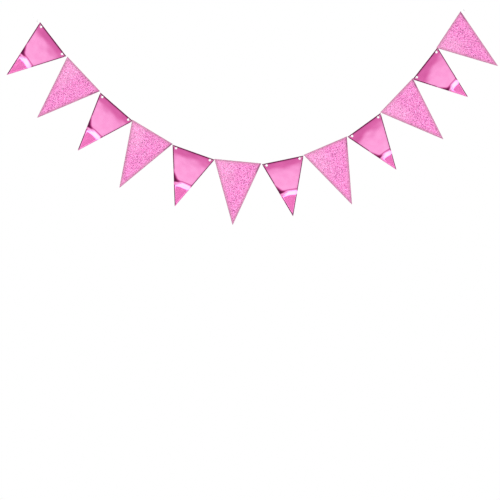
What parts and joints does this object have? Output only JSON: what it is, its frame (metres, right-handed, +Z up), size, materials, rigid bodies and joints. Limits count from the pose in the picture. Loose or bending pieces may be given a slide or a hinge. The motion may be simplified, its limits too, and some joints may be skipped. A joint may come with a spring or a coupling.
{
  "type": "fabric bunting",
  "caption": "Hanging party bunting: stiff triangular pennants, metallic pink foil and pink glitter by turns, strung on a fine nylon line with a tied loop at each end.",
  "frame": {"origin": "the round far end of the left end loop, where a nail or hook holds the line up", "axes": "+X to the right along the span, from the left loop to the right one; +Z up; the decorated faces look towards -Y and the wall is at +Y"},
  "size_m": [1.2768, 0.0137, 0.5737],
  "materials": {
    "foil": "metallised pink foil, mirror-like with soft curls",
    "glitter": "coarse pink glitter, sparkling",
    "line": "clear white nylon line"
  },
  "bodies": {
    "root": {"foil_pennant_01": "foil", "glitter_pennant_02": "glitter", "foil_pennant_03": "foil", "glitter_pennant_04": "glitter", "foil_pennant_05": "foil", "glitter_pennant_06": "glitter", "foil_pennant_07": "foil", "glitter_pennant_08": "glitter", "foil_pennant_09": "foil", "glitter_pennant_10": "glitter", "foil_pennant_11": "foil", "glitter_pennant_12": "glitter", "hanging_line": "line", "end_loop_left": "line", "end_loop_right": "line"}
  },
  "joints": []
}
